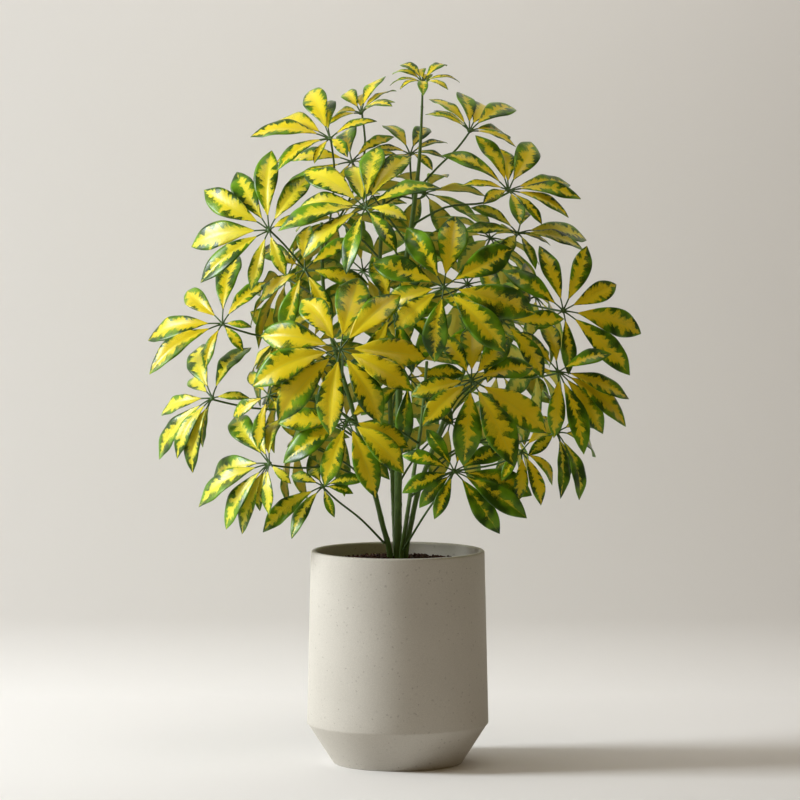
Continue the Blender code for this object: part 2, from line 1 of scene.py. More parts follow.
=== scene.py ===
# %% [markdown]
# # Potted umbrella plant
#
# This script dresses the plain solids of a potted dwarf umbrella plant with their real looks. The solids say where
# every leaflet, petiole and cane goes, so nothing is placed by hand here: each fine piece is read off its solid and
# made again with a smooth shape and a natural finish. The solids themselves stay in place for physics.

# %% Load the solids
import math
import random

import bmesh
import bpy
from mathutils import Matrix, Vector


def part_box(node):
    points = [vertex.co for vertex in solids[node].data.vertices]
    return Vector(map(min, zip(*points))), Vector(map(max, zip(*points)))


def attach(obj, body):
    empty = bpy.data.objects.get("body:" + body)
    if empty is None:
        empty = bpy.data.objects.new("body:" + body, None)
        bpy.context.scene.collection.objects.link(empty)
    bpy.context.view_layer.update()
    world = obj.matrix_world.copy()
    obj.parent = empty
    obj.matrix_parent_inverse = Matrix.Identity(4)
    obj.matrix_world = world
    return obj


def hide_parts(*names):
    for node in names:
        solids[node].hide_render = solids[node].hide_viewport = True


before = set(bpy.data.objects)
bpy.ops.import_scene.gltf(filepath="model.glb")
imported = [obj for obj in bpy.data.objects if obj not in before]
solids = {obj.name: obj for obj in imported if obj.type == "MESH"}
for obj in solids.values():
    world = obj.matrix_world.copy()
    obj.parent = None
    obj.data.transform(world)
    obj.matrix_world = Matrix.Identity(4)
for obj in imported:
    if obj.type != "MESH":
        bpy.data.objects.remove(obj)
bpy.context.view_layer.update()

MM = 0.001
leaf_names = sorted(name for name in solids if name.startswith("leaf_"))
cane_names = sorted(name for name in solids if name.startswith("cane_") or name == "trunk")
print("solids:", len(solids), "of which leaves:", len(leaf_names), "and canes:", len(cane_names))

# %% [markdown]
# ## Camera
#
# The plant is seen from far away with a long lens, from about the height of its top, tilted a little down. A long
# lens keeps near and far leaves almost the same size, as they look across a room. The camera comes first so that
# every later piece can be looked at as soon as it is made.

# %% Camera
CAMERA_PLACE = (0.0025, -4.94, 0.7475)
CAMERA_TILT = math.radians(3.95)
LENS_MM = 200
SENSOR_MM = 36

camera_data = bpy.data.cameras.new("camera")
camera_data.lens = LENS_MM
camera_data.sensor_width = SENSOR_MM
camera_data.clip_end = 50
camera = bpy.data.objects.new("camera", camera_data)
camera.location = CAMERA_PLACE
camera.rotation_euler = (math.radians(90) - CAMERA_TILT, 0, 0)
bpy.context.scene.collection.objects.link(camera)
bpy.context.scene.camera = camera
print("camera looks from", tuple(round(c, 3) for c in camera.location))

# %% [markdown]
# ## Colours and shader nodes
#
# Colours are written as sRGB hex codes, as a colour picker shows them, and one function turns them into the linear
# values that shaders use. A second one adds a shader node and plugs in whatever it is given, so that each material
# below reads as a list of steps.

# %% Colours and nodes
def linear(code):
    """Turns an sRGB hex colour into the linear red, green, blue and alpha that shaders use."""
    parts = [int(code[k:k + 2], 16) / 255 for k in (0, 2, 4)]
    return [c / 12.92 if c <= 0.04045 else ((c + 0.055) / 1.055) ** 2.4 for c in parts] + [1]


def add(tree, kind, inputs=(), **settings):
    """Adds a shader node with its settings. An input takes a number, a colour, an output, or a node's first output."""
    node = tree.nodes.new("ShaderNode" + kind)
    for name, value in settings.items():
        setattr(node, name, value)
    for key, value in dict(inputs).items():
        if isinstance(value, bpy.types.Node):
            value = value.outputs[0]
        if isinstance(value, bpy.types.NodeSocket):
            tree.links.new(value, node.inputs[key])
        else:
            node.inputs[key].default_value = value
    return node


def new_material(name, **sockets):
    """A material with a Principled shader whose even values sit on its own sockets."""
    made = bpy.data.materials.new(name)
    made.use_nodes = True
    shader = made.node_tree.nodes["Principled BSDF"]
    for socket, value in sockets.items():
        shader.inputs[socket.replace("_", " ").title().replace("Ior", "IOR")].default_value = value
    return made, made.node_tree, shader


print("half grey in linear light:", round(linear("808080")[0], 3))

# %% [markdown]
# ## Studio sweep
#
# The stage is pale, warm grey studio paper. Floor and wall are one sheet with a bend between them, so there is no
# hard line behind the pot. Its outline is drawn once, from the floor's front edge to the top of the wall, and
# extruded sideways.

# %% Studio sweep
SWEEP_WIDTH = 9.0
SWEEP_FRONT = -7.0
SWEEP_WALL = 0.62
SWEEP_BEND = 0.09
SWEEP_TOP = 3.5
BEND_STEPS = 24

sweep = bmesh.new()
bend = [
    (SWEEP_WALL - SWEEP_BEND + SWEEP_BEND * math.sin(a), SWEEP_BEND - SWEEP_BEND * math.cos(a))
    for a in (math.radians(90 * k / BEND_STEPS) for k in range(BEND_STEPS + 1))
]
outline = [(SWEEP_FRONT, 0), *bend, (SWEEP_WALL, SWEEP_TOP)]
corners = [sweep.verts.new((-SWEEP_WIDTH / 2, y, z)) for y, z in outline]
edges = [sweep.edges.new(pair) for pair in zip(corners, corners[1:])]
across = bmesh.ops.extrude_edge_only(sweep, edges=edges)["geom"]
moved = [item for item in across if isinstance(item, bmesh.types.BMVert)]
bmesh.ops.translate(sweep, verts=moved, vec=(SWEEP_WIDTH, 0, 0))
sweep.normal_update()
if next(iter(sweep.faces)).normal.z < 0:
    bmesh.ops.reverse_faces(sweep, faces=sweep.faces[:])
sweep_mesh = bpy.data.meshes.new("studio_sweep")
sweep.to_mesh(sweep_mesh)
sweep.free()
sweep_mesh.shade_smooth()
stage = bpy.data.objects.new("studio_sweep", sweep_mesh)
bpy.context.scene.collection.objects.link(stage)

# Studio paper: matt, with nothing to see but its tone. Its back is clear, so the plant can be seen from behind.
paper, tree, shader = new_material("studio_paper", base_color=linear("e8e6e4"), roughness=0.95)
behind = add(tree, "NewGeometry").outputs["Backfacing"]
sided = add(tree, "MixShader", {0: behind, 1: shader, 2: add(tree, "BsdfTransparent")})
tree.links.new(sided.outputs[0], tree.nodes["Material Output"].inputs["Surface"])
stage.data.materials.append(paper)
print("sweep runs back to", SWEEP_WALL, "m")

# %% [markdown]
# ## Lights
#
# One big soft light stands low on the left. It leaves the right side of the pot and plant in shade and throws a long,
# soft shadow to the right. A small light above brightens the wall, and the world adds a weak, warm, even fill. Where
# the camera looks past the paper's edges it sees a plain pale grey instead of that fill.

# %% Lights
FILL_STRENGTH = 0.14


def soft_light(name, turn, rise, distance, aim, size, watts, colour, spread):
    """A square light that looks at its aim from so many degrees round from the front and so many degrees up."""
    turn, rise = math.radians(turn), math.radians(rise)
    data = bpy.data.lights.new(name, "AREA")
    data.energy, data.size, data.color, data.spread = watts, size, colour, math.radians(spread)
    light = bpy.data.objects.new(name, data)
    away = Vector((math.sin(turn) * math.cos(rise), -math.cos(turn) * math.cos(rise), math.sin(rise)))
    light.location = Vector(aim) + away * distance
    light.rotation_euler = away.to_track_quat("Z", "Y").to_euler()
    bpy.context.scene.collection.objects.link(light)
    return light


key = soft_light(
    "key_softbox", turn=-86, rise=24, distance=4.4, aim=(0, -0.05, 0.3), size=1.25, watts=235,
    colour=(0.92, 0.965, 0.99), spread=180,
)
soft_light(
    "wall_wash", turn=3, rise=60, distance=1.6, aim=(0.05, 0.6, 0.45), size=0.9, watts=3.2,
    colour=(1.0, 0.98, 0.95), spread=110,
)

world = bpy.data.worlds.new("soft_fill")
world.use_nodes = True
tree = world.node_tree
fill = tree.nodes["Background"]
fill.inputs["Color"].default_value = linear("ffda95")
fill.inputs["Strength"].default_value = FILL_STRENGTH
beyond = add(tree, "Background", {"Color": linear("d2cfc7"), "Strength": 1.0})
to_camera = add(tree, "LightPath").outputs["Is Camera Ray"]
either = add(tree, "MixShader", {0: to_camera, 1: fill, 2: beyond})
tree.links.new(either.outputs[0], tree.nodes["World Output"].inputs["Surface"])
bpy.context.scene.world = world
bpy.context.scene.view_settings.view_transform = "Standard"
print("key light at", tuple(round(c, 2) for c in key.location))

# %% [markdown]
# ## Small making helpers
#
# Most of a plant is round stems, so one helper draws a tube along points with a radius for each. It starts from a
# circle and extrudes it ring by ring, turning each ring to the way the stem runs, which keeps the rings from
# twisting. Extruding is the operator a modeller would use by hand. Another finishes a piece: it makes the mesh an
# object, hangs it on the root body and hides the solid it stands for.

# %% Making helpers
def smooth_point(points, t):
    """A point on the Catmull-Rom curve through the points, t running from 0 to 1."""
    place = min(max(t, 0), 0.99999) * (len(points) - 1)
    k = int(place)
    f = place - k
    a, b = points[max(k - 1, 0)], points[k]
    c, d = points[k + 1], points[min(k + 2, len(points) - 1)]
    return 0.5 * (2 * b + (c - a) * f + (2 * a - 5 * b + 4 * c - d) * f**2 + (3 * b - a - 3 * c + d) * f**3)


def tube(bm, points, radii, sides, slot=0):
    """A closed round tube through the points."""
    heading = (points[1] - points[0]).normalized()
    place = Matrix.Translation(points[0]) @ heading.to_track_quat("Z", "Y").to_matrix().to_4x4()
    made = bmesh.ops.create_circle(bm, cap_ends=True, segments=sides, radius=radii[0], matrix=place)
    start = made["verts"][0].link_faces[0]
    start.material_index = slot
    start.smooth = True
    end = bmesh.ops.extrude_face_region(bm, geom=[start], use_keep_orig=True)["geom"]
    face = next(item for item in end if isinstance(item, bmesh.types.BMFace))
    ring = [vert.co - points[0] for vert in face.verts]
    for k in range(1, len(points)):
        if k > 1:
            face = bmesh.ops.extrude_discrete_faces(bm, faces=[face])["faces"][0]
        ahead = (points[min(k + 1, len(points) - 1)] - points[k - 1]).normalized()
        turn = heading.rotation_difference(ahead)
        ring = [turn @ (arm * (radii[k] / radii[k - 1])) for arm in ring]
        heading = ahead
        for vert, arm in zip(face.verts, ring):
            vert.co = points[k] + arm


def finish_piece(name, bm, materials, node):
    """Makes the bmesh an object at the origin, hides the solid it stands for and lets it ride on the root body."""
    bmesh.ops.recalc_face_normals(bm, faces=bm.faces[:])
    mesh = bpy.data.meshes.new(name)
    bm.to_mesh(mesh)
    bm.free()
    for material in materials:
        mesh.materials.append(material)
    mesh.shade_smooth()
    piece = bpy.data.objects.new(name, mesh)
    bpy.context.scene.collection.objects.link(piece)
    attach(piece, "root")
    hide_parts(node)
    return piece


corner_points = [Vector((0, 0, 0)), Vector((1, 0, 1)), Vector((2, 0, 0))]
print("a curve through three points passes the second at", tuple(smooth_point(corner_points, 0.5)))

# %% [markdown]
# ## Reading the solids
#
# A leaf's solid is a fan of flat kites round a hub, on a petiole. Its corners say all that a fine leaf needs. The
# sharpest corners are the leaflets' tips, and from each tip the next rings of corners are the belly, the end of the
# stalk and the hub. From the hub's underside the rings run down the petiole. A cane is only such rings.

# %% Reading helpers
SHARP_CORNER = math.radians(125)
WELD = 0.02 * MM


def welded(node):
    bm = bmesh.new()
    bm.from_mesh(solids[node].data)
    bmesh.ops.remove_doubles(bm, verts=bm.verts[:], dist=WELD)
    return bm


def middle(verts):
    return sum((vert.co for vert in verts), Vector()) / len(verts)


def next_ring(ring, seen):
    """The corners one edge away that haven't been seen yet."""
    return {edge.other_vert(vert) for vert in ring for edge in vert.link_edges} - seen


def ring_walk(ring, seen):
    """Centres and radii of ring after ring, down to the end of a stem."""
    centres, radii = [], []
    while ring:
        centres.append(middle(ring))
        radii.append(sum((vert.co - centres[-1]).length for vert in ring) / len(ring))
        seen = seen | ring
        ring = next_ring(ring, seen)
    return centres, radii


def flat_ring(ring, near):
    """Width of a flat ring of four corners, and its upper side, which faces the same way as near."""
    corner = next(iter(ring))
    partner = min(ring - {corner}, key=lambda v: (v.co - corner.co).length)
    others = list(ring - {corner, partner})
    width = ((corner.co + partner.co) / 2 - (others[0].co + others[1].co) / 2).length
    upper = (corner.co - partner.co).normalized()
    return width, upper if upper.dot(near) > 0 else -upper


def read_leaf(node):
    """Hub, outward direction, petiole centre line, and each leaflet's stalk end, belly, tip, width, upper side."""
    bm = welded(node)
    tips = [v for v in bm.verts if sum(loop.calc_angle() for loop in v.link_loops) < SHARP_CORNER]
    fans, hub_corners, blade_corners = [], set(), set()
    for tip in tips:
        belly = next_ring({tip}, {tip})
        stalk = next_ring(belly, belly | {tip})
        root = next_ring(stalk, stalk | belly)
        fans.append((tip, belly, stalk))
        hub_corners |= root
        blade_corners |= {tip} | belly | stalk
    petiole_top = next_ring(hub_corners, hub_corners | blade_corners)
    underside = {v for v in hub_corners if any(e.other_vert(v) in petiole_top for e in v.link_edges)}
    hub = middle(hub_corners)
    out = (middle(hub_corners - underside) - middle(underside)).normalized()
    centres, _ = ring_walk(petiole_top, hub_corners | blade_corners)
    leaflets = []
    for tip, belly, stalk in fans:
        _, near_upper = flat_ring(stalk, out)
        width, upper = flat_ring(belly, near_upper)
        leaflets.append((middle(stalk), middle(belly), tip.co.copy(), width, upper))
    bm.free()
    return hub, out, centres, leaflets


sample = read_leaf(leaf_names[0])
print(leaf_names[0], "has", len(sample[3]), "leaflets and", len(sample[2]), "petiole rings")

# %% [markdown]
# ## Leaf pattern
#
# The leaf is leathery and waxed, with a golden middle and a jagged green margin. The colour breaks follow the side
# veins, because each patch of green grew from one cell between two veins. So the pattern is worked out on the
# blade's own map: how far across from the midrib, and how far along. Slanted bands between the veins each draw a
# chance number, and the green reaches in from the edge as far as that number says.

# %% Leaf pattern
VEIN_BANDS = 13
VEIN_SLANT = 0.16
WOBBLES_PER_METRE = 260.0
CLOUDS_PER_METRE = 45.0
MIDRIB = linear("c2c23c")

# How far across the half blade a band's gold goes: the least and the most that it draws, what its half of the blade
# takes off that, how far it slopes from one vein to the next, and what a green leaf takes off.
GOLD_REACH = (0.55, 1.15)
HALF_LOSS = 0.42
BAND_SLOPE = 0.28
GREEN_LOSS = 0.75


def map_parts(tree, name):
    return add(tree, "SeparateXYZ", {0: add(tree, "UVMap", uv_map=name)})


def vein_bands(tree, along, across, wobble):
    """The number of the slanted band between two side veins, and how far through it a point is."""
    nudge = add(tree, "Math", {0: wobble, 1: 0.1, 2: -0.05}, operation="MULTIPLY_ADD")
    slant = add(tree, "Math", {0: across, 1: -VEIN_SLANT, 2: along}, operation="MULTIPLY_ADD")
    slant = add(tree, "Math", {0: slant, 1: nudge})
    count = add(tree, "Math", {0: slant, 1: float(VEIN_BANDS), 2: 3.0}, operation="MULTIPLY_ADD")
    return add(tree, "Math", {0: count}, operation="FLOOR"), add(tree, "Math", {0: count}, operation="FRACT")


def gold_reach(tree, along, side, band, within, chance):
    """How far from the midrib the gold goes: each band draws its own number, and so does each half of a blade."""
    seed = add(tree, "CombineXYZ", {0: band, 1: side, 2: chance.outputs["X"]})
    seed = add(tree, "VectorMath", {0: seed, 1: (1.0, 17.0, 61.0)}, operation="MULTIPLY")
    draw = add(tree, "TexWhiteNoise", {"Vector": seed}, noise_dimensions="3D").outputs["Value"]
    half = add(tree, "CombineXYZ", {0: side, 1: chance.outputs["X"]})
    half = add(tree, "VectorMath", {0: half, 1: (23.0, 97.0, 1.0)}, operation="MULTIPLY")
    lean = add(tree, "TexWhiteNoise", {"Vector": half}, noise_dimensions="3D").outputs["Value"]
    reach = add(tree, "MapRange", {0: draw, 1: 0.0, 2: 1.0, 3: GOLD_REACH[0], 4: GOLD_REACH[1]})
    reach = add(tree, "Math", {0: lean, 1: -HALF_LOSS, 2: reach}, operation="MULTIPLY_ADD")
    reach = add(tree, "Math", {0: within, 1: -BAND_SLOPE, 2: reach}, operation="MULTIPLY_ADD")
    reach = add(tree, "Math", {0: chance.outputs["Y"], 1: -GREEN_LOSS, 2: reach}, operation="MULTIPLY_ADD")
    base = add(tree, "MapRange", {0: along, 1: 0.05, 2: 0.5, 3: 0.5, 4: 0.14})
    tip = add(tree, "MapRange", {0: along, 1: 0.72, 2: 1.0, 3: 0.0, 4: -0.45})
    return add(tree, "Math", {0: add(tree, "Math", {0: tip, 1: base}), 1: reach})


print("side veins on each half:", VEIN_BANDS)

# %% [markdown]
# The gold itself is cloudy and paler in some leaves, it turns lime just inside the margin, and the green comes in a
# dark and a light shade. Blades let some light through, so they have a little subsurface scattering. Both sides of
# the blade share the pattern, and the underside is paler and matt.

# %% Leaf finish
SHEEN = 0.24
WAX_ROUGHNESS = 0.3
THROUGH = 0.35
THROUGH_COLOUR = (1.0, 0.9, 0.25)
THROUGH_DEPTH = 1.5 * MM


def leaf_finish(name, gold, pale_gold, dark, light, rough, coat):
    """Leathery leaf skin: gold in the middle of a blade, then lime, then green in bands at its margin."""
    made, tree, shader = new_material(
        name, roughness=rough, specular_ior_level=SHEEN, coat_weight=coat, coat_roughness=WAX_ROUGHNESS,
        subsurface_weight=THROUGH, subsurface_radius=THROUGH_COLOUR, subsurface_scale=THROUGH_DEPTH,
    )
    place = add(tree, "TexCoord").outputs["Object"]
    wobble = add(tree, "TexNoise", {"Vector": place, "Scale": WOBBLES_PER_METRE, "Detail": 3.0}).outputs[0]
    cloud = add(tree, "TexNoise", {"Vector": place, "Scale": CLOUDS_PER_METRE, "Detail": 2.0}).outputs[0]
    blade, chance, pale = map_parts(tree, "blade"), map_parts(tree, "chance"), map_parts(tree, "pale")
    along = blade.outputs["Y"]
    signed = add(tree, "Math", {0: blade.outputs["X"], 1: 2.0, 2: -1.0}, operation="MULTIPLY_ADD")
    across = add(tree, "Math", {0: signed}, operation="ABSOLUTE")
    side = add(tree, "Math", {0: signed, 1: 0.0}, operation="GREATER_THAN")
    band, within = vein_bands(tree, along, across, wobble)
    reach = gold_reach(tree, along, side, band, within, chance)
    ragged = add(tree, "Math", {0: wobble, 1: 0.16, 2: -0.08}, operation="MULTIPLY_ADD")
    over = add(tree, "Math", {0: add(tree, "Math", {0: across, 1: reach}, operation="SUBTRACT"), 1: ragged})

    paler = add(tree, "Math", {0: cloud, 1: 0.5, 2: pale.outputs["X"]}, operation="MULTIPLY_ADD")
    paler = add(tree, "Math", {0: paler, 1: 0.15}, operation="SUBTRACT", use_clamp=True)
    golds = add(tree, "Mix", {0: paler, "A": gold, "B": pale_gold}, data_type="RGBA").outputs["Result"]
    fringe = add(tree, "MapRange", {0: over, 1: -0.16, 2: -0.02, 3: 0.0, 4: 0.55})
    golds = add(tree, "Mix", {0: fringe, "A": golds, "B": light}, data_type="RGBA").outputs["Result"]
    shade = add(tree, "MapRange", {0: cloud, 1: 0.42, 2: 0.6})
    greens = add(tree, "Mix", {0: shade, "A": dark, "B": light}, data_type="RGBA").outputs["Result"]
    margin = add(tree, "MapRange", {0: over, 1: -0.015, 2: 0.02})
    both = add(tree, "Mix", {0: margin, "A": golds, "B": greens}, data_type="RGBA").outputs["Result"]
    rib = add(tree, "MapRange", {0: across, 1: 0.012, 2: 0.045, 3: 0.45, 4: 0.0})
    ribbed = add(tree, "Mix", {0: rib, "A": both, "B": MIDRIB}, data_type="RGBA").outputs["Result"]
    tree.links.new(ribbed, shader.inputs["Base Color"])

    away = add(tree, "Math", {0: within, 1: 0.5}, operation="SUBTRACT")
    vein = add(tree, "MapRange", {0: add(tree, "Math", {0: away}, operation="ABSOLUTE"), 1: 0.38, 2: 0.5})
    relief = add(tree, "Math", {0: vein, 1: -0.6, 2: wobble}, operation="MULTIPLY_ADD")
    bump = add(tree, "Bump", {"Strength": 0.35, "Distance": 0.25 * MM, "Height": relief})
    tree.links.new(bump.outputs[0], shader.inputs["Normal"])
    return made


blade_top = leaf_finish(
    "waxed_variegated_leaf", gold=linear("d8bd00"), pale_gold=linear("dcd63c"), dark=linear("2a4c02"),
    light=linear("64900c"), rough=0.32, coat=0.08,
)
blade_under = leaf_finish(
    "matt_leaf_underside", gold=linear("bdb030"), pale_gold=linear("cdc866"), dark=linear("4a6f22"),
    light=linear("7fa03e"), rough=0.6, coat=0.0,
)
print("leaf materials:", blade_top.name, blade_under.name)

# %% [markdown]
# ## Stem finish
#
# Petioles and canes share one kind of skin: smooth and green, with fine streaks along the stem.

# %% Stem finish
STREAKS_PER_METRE = 420.0


def stem_finish(name, low, high, rough):
    """Green stem skin, with streaks a few millimetres long."""
    made, tree, shader = new_material(name, roughness=rough, ior=1.45)
    place = add(tree, "TexCoord").outputs["Object"]
    stretch = add(tree, "Mapping", {"Vector": place, "Scale": (1.0, 1.0, 0.25)})
    streak = add(tree, "TexNoise", {"Vector": stretch, "Scale": STREAKS_PER_METRE, "Detail": 4.0})
    mix = add(tree, "Mix", {0: streak.outputs[0], "A": low, "B": high}, data_type="RGBA")
    tree.links.new(mix.outputs["Result"], shader.inputs["Base Color"])
    bump = add(tree, "Bump", {"Strength": 0.3, "Distance": 0.2 * MM, "Height": streak.outputs[0]})
    tree.links.new(bump.outputs[0], shader.inputs["Normal"])
    return made


petiole_skin = stem_finish("green_petiole_skin", linear("263c0c"), linear("476a1c"), 0.42)
cane_skin = stem_finish("green_cane_bark", linear("2f4a14"), linear("68883a"), 0.5)
print("stem materials:", petiole_skin.name, cane_skin.name)

# %% [markdown]
# ## Leaf shape
#
# A leaflet is a long oval, fullest just past its middle, that ends in a point. Its two halves rise from a sunken
# midrib and level off at the margin, the whole blade arches down towards its tip, and its edge waves a little. It
# starts as a flat grid whose points are moved onto that shape, and is then given a leaf's thickness. No two leaflets
# are alike: a seeded chance sets each one's twist, wave and sideways curve.

# %% Leaflet
BLADE_ROWS = 26
BLADE_COLUMNS = 10
BLADE_THICKNESS = 0.5 * MM
BLADE_MAPS = ("blade", "chance", "pale")
TOP_SLOT, UNDER_SLOT, STALK_SLOT = 0, 1, 2

# The outline is half a sine wave. The first number moves its widest place towards the tip, and the next two make the
# base and the tip fuller than a sine.
OUTLINE_SHIFT = 1.24
BASE_FULLNESS = 0.85
TIP_FULLNESS = 0.92
WIDEST_AT = 0.5 ** (1 / OUTLINE_SHIFT)
LEAST_WIDTH = 0.02

LEVELLING = 0.6
RIPPLE = 0.07
RIPPLE_LAG = 1.7

STALK_STEPS = 8
STALK_SIDES = 8
STALK_RADIUS = 0.75 * MM
STALK_SWELL = 0.6 * MM
STALK_FLARE = 0.1 * MM


def outline_width(t):
    """Share of the full width at share t of the blade: a wedge at the base and a point at the tip."""
    swell = math.sin(math.pi * t**OUTLINE_SHIFT)
    return swell ** (BASE_FULLNESS if t < WIDEST_AT else TIP_FULLNESS)


def add_blade(bm, stalk_end, belly, tip, width, upper, chance, greenness, paleness):
    """One blade from the end of its stalk to its tip, as a thin closed sheet with its own map."""
    length = (belly - stalk_end).length + (tip - belly).length
    share = (belly - stalk_end).length / length
    bend = (belly - stalk_end * (1 - share) ** 2 - tip * share**2) / (2 * share * (1 - share))
    twist, wave = chance.uniform(-0.3, 0.3), chance.uniform(0, 6.28)
    sickle, fold = chance.uniform(-0.035, 0.035), chance.uniform(0.14, 0.42)
    waves, full = chance.uniform(1.6, 3.0), width * chance.uniform(0.94, 1.08)
    made = bmesh.ops.create_grid(bm, x_segments=BLADE_COLUMNS, y_segments=BLADE_ROWS, size=1)
    map_of, chance_of, pale_of = (bm.loops.layers.uv[layer] for layer in BLADE_MAPS)
    draw, pale = (chance.random(), greenness), (paleness, 0)
    faces = list({face for vert in made["verts"] for face in vert.link_faces})
    for face in faces:
        face.material_index = TOP_SLOT
        for loop in face.loops:
            loop[map_of].uv = (loop.vert.co.x / 2 + 0.5, loop.vert.co.y / 2 + 0.5)
            loop[chance_of].uv = draw
            loop[pale_of].uv = pale
    for vert in made["verts"]:
        a, t = vert.co.x, vert.co.y / 2 + 0.5
        centre = stalk_end * (1 - t) ** 2 + bend * 2 * t * (1 - t) + tip * t**2
        heading = ((bend - stalk_end) * (1 - t) + (tip - bend) * t).normalized()
        top = (upper - heading * upper.dot(heading)).normalized()
        top.rotate(Matrix.Rotation(twist * t, 3, heading))
        side = heading.cross(top)
        half = full / 2 * max(outline_width(min(t, 0.999)), LEAST_WIDTH)
        rise = fold * abs(a) - LEVELLING * fold * a**2
        ripple = RIPPLE * math.sin(waves * 2 * math.pi * t + wave + (RIPPLE_LAG if a > 0 else 0)) * a**2
        aside = a * half + sickle * length * math.sin(math.pi * t)
        vert.co = centre + side * aside + top * half * (rise + ripple)
    bm.normal_update()
    bmesh.ops.solidify(bm, geom=faces, thickness=BLADE_THICKNESS)


def add_stalk(bm, hub, out, stalk_end, belly):
    """A leaflet's own stalk: swollen where it leaves the hub, thin in the middle, and wide again at the blade."""
    ray = stalk_end - hub
    ray = (ray - out * ray.dot(out)).normalized()
    start = hub + ray * 1.5 * MM
    reach = (stalk_end - start).length
    onward = (belly - stalk_end).normalized()
    points, radii = [], []
    for k in range(STALK_STEPS + 1):
        t = k / STALK_STEPS
        a = start.lerp(start + (ray * 0.8 + out * 0.35) * reach * 0.4, t)
        b = (stalk_end - onward * reach * 0.4).lerp(stalk_end + onward * 2 * MM, t)
        points.append(a.lerp(b, t * t * (3 - 2 * t)))
        radii.append(STALK_RADIUS + STALK_SWELL * (1 - t) ** 3 + STALK_FLARE * t**2)
    tube(bm, points, radii, STALK_SIDES, STALK_SLOT)


print("blade grid:", BLADE_ROWS, "rows of", BLADE_COLUMNS, "faces, widest at", round(WIDEST_AT, 2), "of its length")

# %% [markdown]
# ## Whole leaves
#
# Each compound leaf is one piece, as it grew: the petiole runs up from a clasping foot on the cane, the hub is a small
# swollen knob, and the leaflets stand round it. Leaves differ in how much of them is green and how pale their gold
# is, and so do the leaflets of one leaf. Those at the front of the crown spread a little wider than the rest.

# %% Whole leaves
PETIOLE_RINGS = 18
PETIOLE_SIDES = 10
PETIOLE_RADIUS = 1.15 * MM
PETIOLE_SWELL = 0.5 * MM
FOOT_SWELL = 0.8 * MM
FOOT_REACH = 2.2 * MM
KNOB_RADIUS = 3.0 * MM
KNOB_HEIGHT = 0.7

# Stalks are this much shorter than in the solid, and blades that much longer. Breadths are shares of the solid's.
STALK_SHARE = 0.85
FRONT_OF_CROWN = -0.1
FRONT_BREADTH = 0.94
OTHER_BREADTH = 0.78

# How green a leaf's margins are. The others draw a number between the usual two.
USUAL_GREEN = (0.0, 0.12)
GREENER = {
    "leaf_01": -0.05, "leaf_02": 0.15, "leaf_03": -0.05, "leaf_05": 0.7, "leaf_06": 0.0, "leaf_11": 0.25,
    "leaf_12": 0.2, "leaf_14": 0.3, "leaf_16": 0.25, "leaf_23": 0.3, "leaf_44": 0.3, "leaf_45": 0.4,
}
LEAFLET_GREEN = (-0.06, 0, 0.06, 0.12, 0.4)

# How far a leaf's gold has paled towards cream.
USUAL_PALENESS = 0.15
PALER = {
    "leaf_06": 0.5, "leaf_07": 0.5, "leaf_09": 0.6, "leaf_10": 0.7, "leaf_11": 0.5, "leaf_14": 0.6, "leaf_16": 0.7,
}


def make_leaf(node):
    """Builds one compound leaf and returns how many leaflets and faces it has."""
    chance = random.Random(int(node.split("_")[1]))
    hub, out, centres, leaflets = read_leaf(node)
    bm = bmesh.new()
    for layer in BLADE_MAPS:
        bm.loops.layers.uv.new(layer)
    leaf_green = GREENER.get(node, chance.uniform(*USUAL_GREEN))
    for stalk_end, belly, tip, width, upper in leaflets:
        stalk_end = hub.lerp(stalk_end, STALK_SHARE)
        width *= FRONT_BREADTH if hub.y < FRONT_OF_CROWN else OTHER_BREADTH
        green = leaf_green + chance.choice(LEAFLET_GREEN)
        before = set(bm.faces)
        add_blade(bm, stalk_end, belly, tip, width, upper, chance, green, PALER.get(node, USUAL_PALENESS))
        for face in set(bm.faces) - before:
            if face.normal.dot(upper) < 0:
                face.material_index = UNDER_SLOT
        add_stalk(bm, hub, out, stalk_end, belly)
    foot = centres[-1] + (centres[-1] - centres[-2]).normalized() * FOOT_REACH
    line = [hub - out * 0.5 * MM] + centres + [foot]
    steps = [k / PETIOLE_RINGS for k in range(PETIOLE_RINGS + 1)]
    points = [smooth_point(line, t) for t in steps]
    radii = [PETIOLE_RADIUS + PETIOLE_SWELL * t**4 + FOOT_SWELL * t**24 for t in steps]
    tube(bm, points, radii, PETIOLE_SIDES, STALK_SLOT)
    place = Matrix.Translation(hub) @ out.to_track_quat("Z", "Y").to_matrix().to_4x4()
    place @= Matrix.Diagonal((1, 1, KNOB_HEIGHT, 1))
    knob = bmesh.ops.create_uvsphere(bm, u_segments=14, v_segments=8, radius=KNOB_RADIUS, matrix=place)
    for face in {face for vert in knob["verts"] for face in vert.link_faces}:
        face.material_index = STALK_SLOT
    piece = finish_piece("umbrella_" + node, bm, [blade_top, blade_under, petiole_skin], node)
    return len(leaflets), len(piece.data.polygons)


counts = [make_leaf(node) for node in leaf_names]
print("leaflets:", sum(c[0] for c in counts), "faces:", sum(c[1] for c in counts))

# %% [markdown]
# ## Canes
#
# The canes are smooth green stems. Every few centimetres a low ring marks where an old leaf fell. They follow the
# solids' rings, with the leaf scars added as swellings.

# %% Canes
CANE_SIDES = 18
CANE_RING_STEP = 2.2 * MM
SOLID_SIDES = 8
SCAR_STEP = 27 * MM
SCAR_WIDTH = 2.2 * MM
SCAR_SWELL = 0.10


